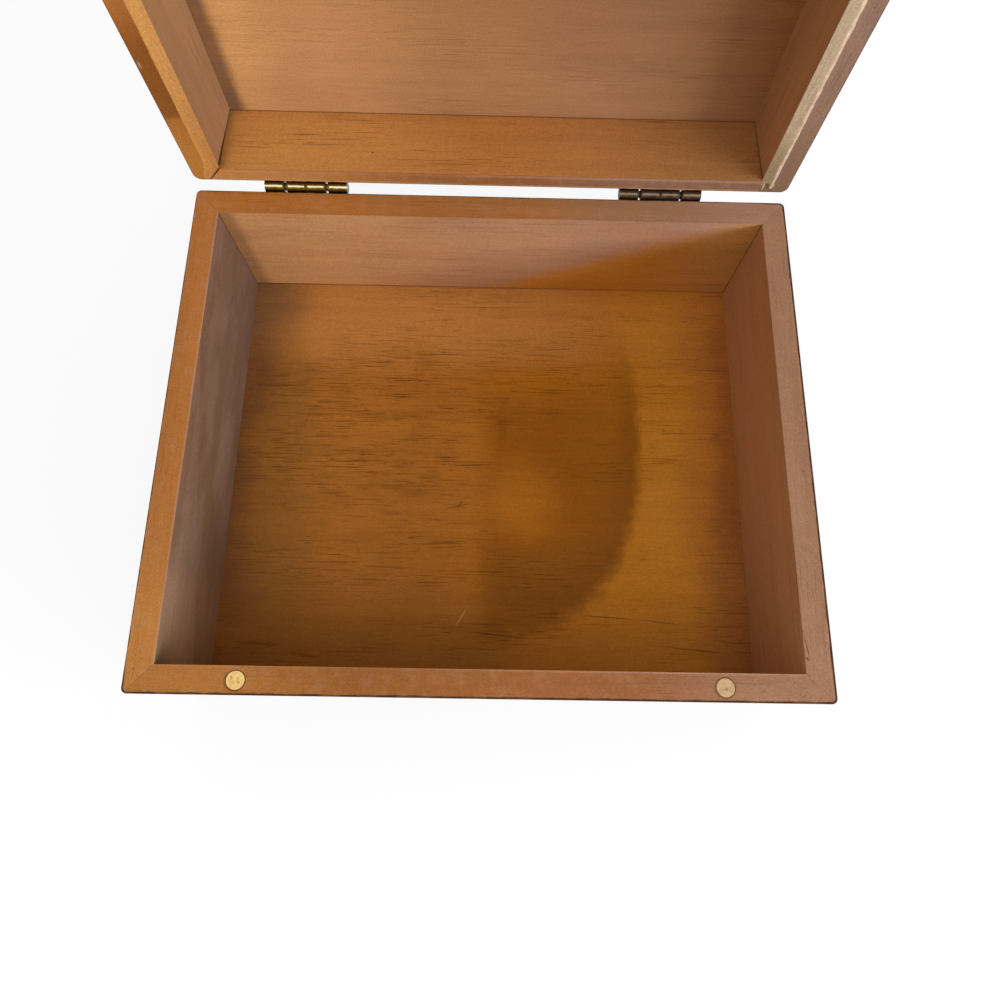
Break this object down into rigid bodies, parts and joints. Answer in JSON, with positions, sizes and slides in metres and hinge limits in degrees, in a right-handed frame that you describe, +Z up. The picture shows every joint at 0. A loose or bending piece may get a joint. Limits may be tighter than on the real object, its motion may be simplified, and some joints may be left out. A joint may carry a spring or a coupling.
{
  "type": "hinged keepsake box",
  "caption": "Shallow rectangular wooden box with a deep base and a shallow hinged lid standing open, brass barrel hinges at the back and small round magnet catches in the front rims.",
  "frame": {"origin": "middle of the underside", "axes": "+X to the right seen from the front, +Y towards the hinges at the back, +Z up"},
  "size_m": [0.216, 0.2245, 0.2307],
  "materials": {
    "board_wood": "satin",
    "panel_wood": "satin",
    "magnet_brass": "satin",
    "hinge_antique_brass": "antiqued",
    "hinge_fastener_brass": "antiqued"
  },
  "bodies": {
    "base": {"base_front_board": "board_wood", "base_back_board": "board_wood", "base_left_board": "board_wood", "base_right_board": "board_wood", "base_bottom_panel": "panel_wood", "base_magnet_left": "magnet_brass", "base_magnet_right": "magnet_brass", "hinge_left_base_leaf": "hinge_antique_brass", "hinge_left_pin": "hinge_fastener_brass", "hinge_left_base_screws": "hinge_fastener_brass", "hinge_right_base_leaf": "hinge_antique_brass", "hinge_right_pin": "hinge_fastener_brass", "hinge_right_base_screws": "hinge_fastener_brass"},
    "lid": {"lid_front_board": "board_wood", "lid_back_board": "board_wood", "lid_left_board": "board_wood", "lid_right_board": "board_wood", "lid_top_panel": "panel_wood", "lid_magnet_left": "magnet_brass", "lid_magnet_right": "magnet_brass", "hinge_left_lid_leaf": "hinge_antique_brass", "hinge_left_lid_screws": "hinge_fastener_brass", "hinge_right_lid_leaf": "hinge_antique_brass", "hinge_right_lid_screws": "hinge_fastener_brass"}
  },
  "joints": [
    {"name": "lid_hinge", "type": "hinge", "parent": "base", "child": "lid", "pos_m": [0, 0.0914, 0.05065], "axis": [1, 0, 0], "range_deg": [0, 93.5]}
  ]
}
